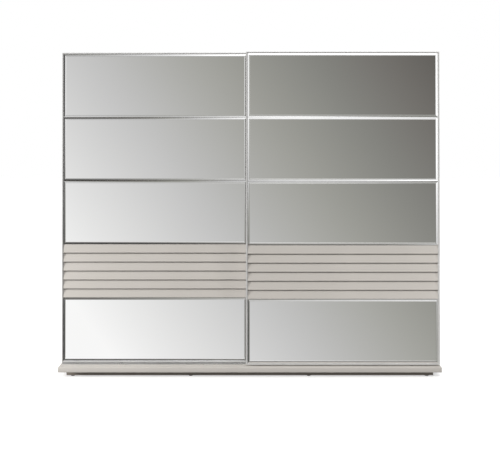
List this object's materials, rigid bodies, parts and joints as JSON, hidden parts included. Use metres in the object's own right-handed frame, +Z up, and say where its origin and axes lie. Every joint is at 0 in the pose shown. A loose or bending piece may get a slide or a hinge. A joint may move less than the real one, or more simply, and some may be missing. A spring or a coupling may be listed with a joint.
{
  "type": "sliding-door wardrobe",
  "caption": "Two-door sliding wardrobe with mirror panels in polished trims, a louvred band across both doors, a wide base board and a recessed plinth.",
  "frame": {"origin": "on the floor, at the centre of the footprint", "axes": "+X along the width, to the right seen from the front; +Y to the back, so the doors face -Y; +Z up"},
  "size_m": [2.472, 0.68, 2.114],
  "materials": {
    "mirror_glass": "silvered plate glass with a seamed edge",
    "trim_chrome": "polished",
    "door_edging": "satin anodised edge strip",
    "front_lacquer": "satin greige lacquer on board",
    "door_board": "melamine-faced particle board",
    "carcass_board": "melamine-faced particle board",
    "interior_board": "melamine-faced particle board, linen print",
    "back_board": "lacquered hardboard",
    "plinth_board": "dark foil on board",
    "track_aluminium": "anodised extrusion",
    "rail_chrome": "polished",
    "zinc_steel": "bright zinc plated",
    "roller_nylon": "moulded nylon",
    "glide_plastic": "moulded plastic",
    "stop_rubber": "moulded rubber"
  },
  "bodies": {
    "carcass": {"floor_glides": "glide_plastic", "plinth_front": "plinth_board", "plinth_back": "plinth_board", "plinth_ends": "plinth_board", "plinth_ribs": "plinth_board", "base_board": "front_lacquer", "side_panel_left": "carcass_board", "side_panel_right": "carcass_board", "partition": "interior_board", "top_panel": "carcass_board", "back_panel_left": "back_board", "back_panel_right": "back_board", "shelf_left": "interior_board", "shelf_right": "interior_board", "shelf_pins": "zinc_steel", "hanging_rail_left": "rail_chrome", "hanging_rail_right": "rail_chrome", "rail_sockets": "rail_chrome", "top_track": "track_aluminium", "track_stops": "stop_rubber", "bottom_guide": "track_aluminium", "wall_brackets": "zinc_steel", "top_screws": "zinc_steel", "guide_screws": "zinc_steel", "carcass_screws": "zinc_steel", "socket_screws": "zinc_steel"},
    "left_door": {"left_edging": "door_edging", "left_door_leaf": "door_board", "left_slats": "front_lacquer", "left_hangers": "zinc_steel", "left_axles": "zinc_steel", "left_guide_shoes": "glide_plastic", "left_door_screws": "zinc_steel", "left_trim_1": "trim_chrome", "left_mirror_1": "mirror_glass", "left_trim_2": "trim_chrome", "left_mirror_2": "mirror_glass", "left_trim_3": "trim_chrome", "left_mirror_3": "mirror_glass", "left_trim_4": "trim_chrome", "left_mirror_4": "mirror_glass"},
    "left_roller_outer": {"left_roller_outer": "roller_nylon"},
    "left_roller_inner": {"left_roller_inner": "roller_nylon"},
    "right_door": {"right_edging": "door_edging", "right_door_leaf": "door_board", "right_slats": "front_lacquer", "right_hangers": "zinc_steel", "right_axles": "zinc_steel", "right_guide_shoes": "glide_plastic", "right_door_screws": "zinc_steel", "right_trim_1": "trim_chrome", "right_mirror_1": "mirror_glass", "right_trim_2": "trim_chrome", "right_mirror_2": "mirror_glass", "right_trim_3": "trim_chrome", "right_mirror_3": "mirror_glass", "right_trim_4": "trim_chrome", "right_mirror_4": "mirror_glass"},
    "right_roller_outer": {"right_roller_outer": "roller_nylon"},
    "right_roller_inner": {"right_roller_inner": "roller_nylon"}
  },
  "joints": [
    {"name": "left_door_slide", "type": "slide", "parent": "carcass", "child": "left_door", "axis": [1, 0, 0], "range_m": [0, 1.207]},
    {"name": "right_door_slide", "type": "slide", "parent": "carcass", "child": "right_door", "axis": [-1, 0, 0], "range_m": [0, 1.207]},
    {"name": "left_roller_outer_spin", "type": "hinge", "parent": "left_door", "child": "left_roller_outer", "pos_m": [-1.082, -0.212, 2.084], "axis": [0, 1, 0], "continuous": true},
    {"name": "left_roller_inner_spin", "type": "hinge", "parent": "left_door", "child": "left_roller_inner", "pos_m": [-0.125, -0.212, 2.084], "axis": [0, 1, 0], "continuous": true},
    {"name": "right_roller_inner_spin", "type": "hinge", "parent": "right_door", "child": "right_roller_inner", "pos_m": [0.125, -0.182, 2.084], "axis": [0, 1, 0], "continuous": true},
    {"name": "right_roller_outer_spin", "type": "hinge", "parent": "right_door", "child": "right_roller_outer", "pos_m": [1.082, -0.182, 2.084], "axis": [0, 1, 0], "continuous": true}
  ],
  "couplings": [
    {"joint": "left_roller_outer_spin", "follows": "left_door_slide", "rad_per_m": 66.667},
    {"joint": "left_roller_inner_spin", "follows": "left_door_slide", "rad_per_m": 66.667},
    {"joint": "right_roller_inner_spin", "follows": "right_door_slide", "rad_per_m": -66.667},
    {"joint": "right_roller_outer_spin", "follows": "right_door_slide", "rad_per_m": -66.667}
  ]
}
